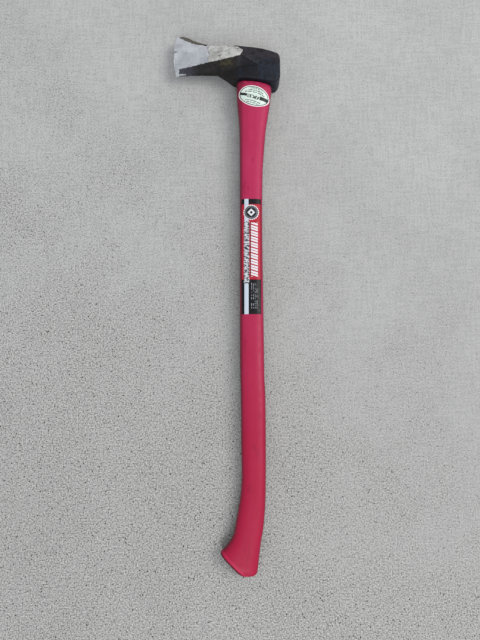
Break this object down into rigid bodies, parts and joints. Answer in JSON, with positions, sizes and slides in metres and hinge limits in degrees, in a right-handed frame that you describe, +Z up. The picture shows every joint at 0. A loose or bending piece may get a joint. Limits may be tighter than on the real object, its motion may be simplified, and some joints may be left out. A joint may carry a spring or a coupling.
{
  "type": "splitting axe",
  "caption": "Wood-splitting axe with a forged wedge-shaped steel head on a long red wooden handle with a flared knob, lying on its side.",
  "frame": {"origin": "on the ground, under the middle of the bounding box of the lying axe", "axes": "+Z up; +Y along the handle from the knob to the head; the cutting edge points to -X and the poll to +X"},
  "size_m": [0.1842, 0.9094, 0.0515],
  "materials": {
    "head_steel": "black forged and painted steel, worn to bare ground metal on the upper cheek and the bit",
    "handle_lacquer": "satin crimson lacquer on wood",
    "wedge_wood": "bare sawn hardwood",
    "wedge_steel": "bare steel, dull",
    "oval_vinyl": "printed vinyl with a white rim",
    "strip_vinyl": "printed vinyl in red, black and silver"
  },
  "bodies": {
    "root": {"axe_head": "head_steel", "handle": "handle_lacquer", "wooden_wedge": "wedge_wood", "steel_wedge_front": "wedge_steel", "steel_wedge_rear": "wedge_steel", "oval_label": "oval_vinyl", "strip_label": "strip_vinyl"}
  },
  "joints": []
}
